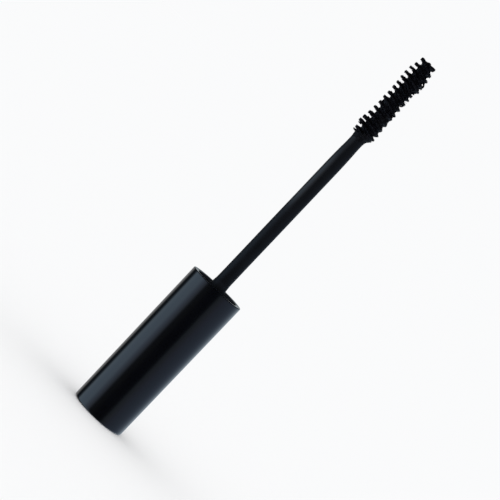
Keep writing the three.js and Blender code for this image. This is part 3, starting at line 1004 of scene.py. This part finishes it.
# soft studio light: an even white surround, and what polished surfaces mirror of it, by compass angle
world = bpy.data.worlds.new("studio")
scene.world = world
world.use_nodes = True
wt = world.node_tree
for n in list(wt.nodes):
    wt.nodes.remove(n)
tc = wt.nodes.new("ShaderNodeTexCoord")
sep = add(wt, "ShaderNodeSeparateXYZ", {"Vector": tc.outputs["Generated"]})
neg_y = add(wt, "ShaderNodeMath", {0: sep.outputs["Y"], 1: -1.0}, operation="MULTIPLY")
ang = add(wt, "ShaderNodeMath", {0: sep.outputs["X"], 1: neg_y.outputs[0]}, operation="ARCTAN2")
turned_01 = add(wt, "ShaderNodeMath", {0: ang.outputs[0], 1: 1 / (2 * math.pi), 2: 0.5}, operation="MULTIPLY_ADD")
SURROUND = [  # degrees to the right of the camera's side, and the light seen there
    (-180, (0.48, 0.50, 0.52)), (-158, (0.46, 0.46, 0.47)), (-147, (0.56, 0.56, 0.56)), (-139, (0.36, 0.37, 0.37)),
    (-134, (0.15, 0.16, 0.16)), (-128, (0.020, 0.028, 0.034)), (-118.6, (0.035, 0.047, 0.058)), (-112.2, (0.169, 0.225, 0.281)),
    (-105.8, (0.72, 0.927, 1.123)), (-100.2, (0.855, 1.122, 1.389)), (-87, (0.888, 1.198, 1.539)), (-69.8, (0.97, 1.284, 1.637)),
    (-64, (0.937, 1.229, 1.561)), (-56.3, (0.703, 0.903, 1.205)), (-48.6, (0.551, 0.671, 0.882)), (-40.8, (0.36, 0.43, 0.54)),
    (-36, (0.14, 0.16, 0.19)), (-31.1, (0.062, 0.070, 0.070)), (-19.5, (0.044, 0.046, 0.038)), (-7.8, (0.015, 0.014, 0.012)),
    (11.7, (0.008, 0.008, 0.007)), (21.4, (0.026, 0.029, 0.030)), (26.3, (0.075, 0.093, 0.104)), (30.2, (0.175, 0.211, 0.243)),
    (38.9, (0.24, 0.275, 0.33)), (56.3, (0.296, 0.346, 0.492)), (72.7, (0.309, 0.395, 0.552)), (105.8, (0.344, 0.442, 0.622)),
    (122, (0.445, 0.575, 0.740)), (145, (0.65, 0.78, 0.92)), (160, (0.55, 0.66, 0.76)), (180, (0.48, 0.50, 0.52)),
]
env = ramp(wt, turned_01.outputs[0], [((d + 180) / 360, c) for d, c in SURROUND])
path = wt.nodes.new("ShaderNodeLightPath")
even = add(wt, "ShaderNodeBackground", {"Color": (1, 1, 1, 1), "Strength": 1.12})
seen = add(wt, "ShaderNodeBackground", {"Color": (0.9576, 0.9621, 0.9688, 1), "Strength": 1.0})
# the room darkens quickly above the horizon, so upward faces mirror little
height_01 = add(wt, "ShaderNodeMath", {0: sep.outputs["Z"], 1: 0.5, 2: 0.5}, operation="MULTIPLY_ADD")
dome = ramp(wt, height_01.outputs[0], [(0.5, grey(1.0)), (0.53, grey(0.45)), (0.60, grey(0.14)), (0.75, grey(0.08)), (1.0, grey(0.12))])
sky = add(wt, "ShaderNodeMix", {0: 1.0, 6: env.outputs["Color"], 7: dome.outputs["Color"]}, data_type="RGBA", blend_type="MULTIPLY")
# a pale wall stands just above the horizon behind the object
wall_az = ramp(wt, turned_01.outputs[0], [(0.0, (0.16, 0.20, 0.21)), (0.07, (0.16, 0.20, 0.21)), (0.10, grey(0.0)), (0.90, grey(0.0)), (0.93, (0.16, 0.20, 0.21)), (1.0, (0.16, 0.20, 0.21))])
wall_el = ramp(wt, height_01.outputs[0], [(0.508, grey(0.0)), (0.520, grey(1.0)), (0.560, grey(1.0)), (0.590, grey(0.6)), (0.63, grey(0.4)), (0.66, grey(0.0))])
wall = add(wt, "ShaderNodeMix", {0: 1.0, 6: wall_az.outputs["Color"], 7: wall_el.outputs["Color"]}, data_type="RGBA", blend_type="MULTIPLY")
round_about = add(wt, "ShaderNodeMix", {0: 1.0, 6: sky.outputs[2], 7: wall.outputs[2]}, data_type="RGBA", blend_type="ADD")
mirrored = add(wt, "ShaderNodeBackground", {"Color": round_about.outputs[2], "Strength": 1.0})
mix1 = add(wt, "ShaderNodeMixShader", {0: path.outputs["Is Glossy Ray"], 1: even.outputs[0], 2: mirrored.outputs[0]})
mix2 = add(wt, "ShaderNodeMixShader", {0: path.outputs["Is Camera Ray"], 1: mix1.outputs[0], 2: seen.outputs[0]})
out = wt.nodes.new("ShaderNodeOutputWorld")
wt.links.new(mix2.outputs[0], out.inputs["Surface"])
world.cycles.sampling_method = "NONE"
